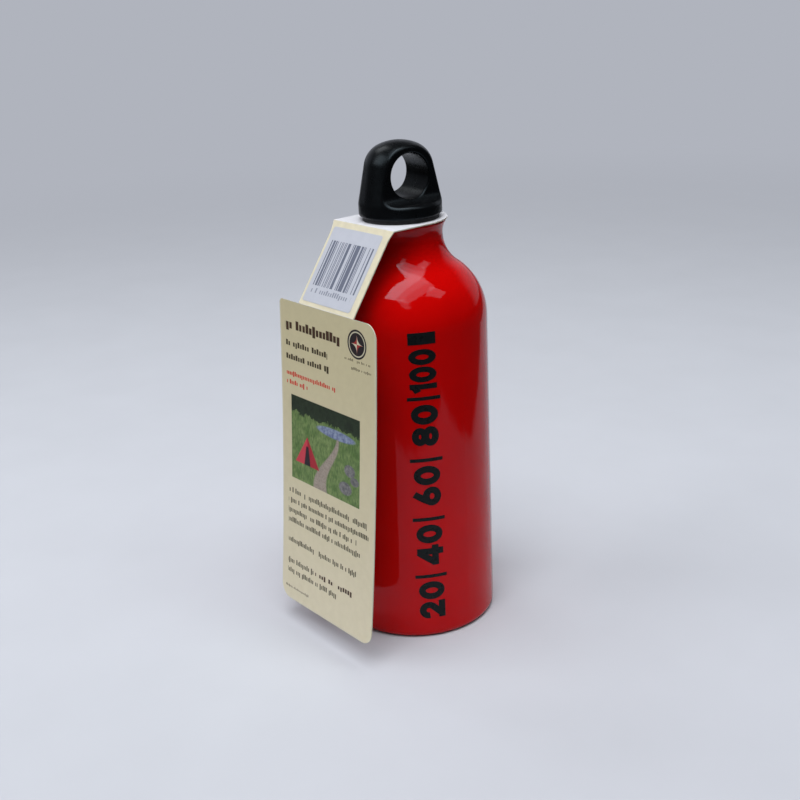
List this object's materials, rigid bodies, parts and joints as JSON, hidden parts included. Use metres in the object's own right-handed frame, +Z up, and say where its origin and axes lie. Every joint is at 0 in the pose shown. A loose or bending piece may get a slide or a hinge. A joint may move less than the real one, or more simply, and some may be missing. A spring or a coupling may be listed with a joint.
{
  "type": "camping fuel bottle",
  "caption": "Narrow-necked red metal fuel bottle with a screw-in loop stopper on a rubber gasket and a folded card hang tag clamped on its mouth.",
  "frame": {"origin": "centre of the base, on the surface the bottle stands on", "axes": "+Z up along the bottle's axis; the hang tag hangs on the -Y side and its width runs along X"},
  "size_m": [0.073, 0.0931, 0.2213],
  "materials": {
    "enamelled_aluminium": "gloss red enamel outside, bare metal inside the mouth",
    "black_moulding": "satin moulded polypropylene",
    "black_rubber": "matte",
    "tag_card": "printed uncoated card",
    "sticker_paper": "matte label paper"
  },
  "bodies": {
    "bottle": {"bottle_shell": "enamelled_aluminium"},
    "collar": {"tag_collar": "tag_card"},
    "strip": {"tag_strip": "tag_card", "tag_sticker": "sticker_paper"},
    "panel": {"tag_panel": "tag_card"},
    "washer": {"gasket": "black_rubber"},
    "stopper": {"stopper": "black_moulding"}
  },
  "joints": [
    {"name": "closure_lift", "type": "slide", "parent": "bottle", "child": "collar", "axis": [0, 0, 1], "range_m": [0, 0.06]},
    {"name": "tag_upper_fold", "type": "hinge", "parent": "collar", "child": "strip", "pos_m": [0, -0.02095, 0.18816], "axis": [-1, 0, 0], "range_deg": [0, 54.8]},
    {"name": "tag_lower_fold", "type": "hinge", "parent": "strip", "child": "panel", "pos_m": [0, -0.04389, 0.15564], "axis": [-1, 0, 0], "range_deg": [0, 32]},
    {"name": "stopper_rise", "type": "slide", "parent": "collar", "child": "washer", "axis": [0, 0, 1], "range_m": [0, 0.017]},
    {"name": "stopper_turn", "type": "hinge", "parent": "washer", "child": "stopper", "pos_m": [0, 0, 0.19001], "axis": [0, 0, 1], "range_deg": [0, 1530]}
  ],
  "couplings": [
    {"joint": "stopper_rise", "follows": "stopper_turn", "m_per_rad": 0.00063662}
  ]
}
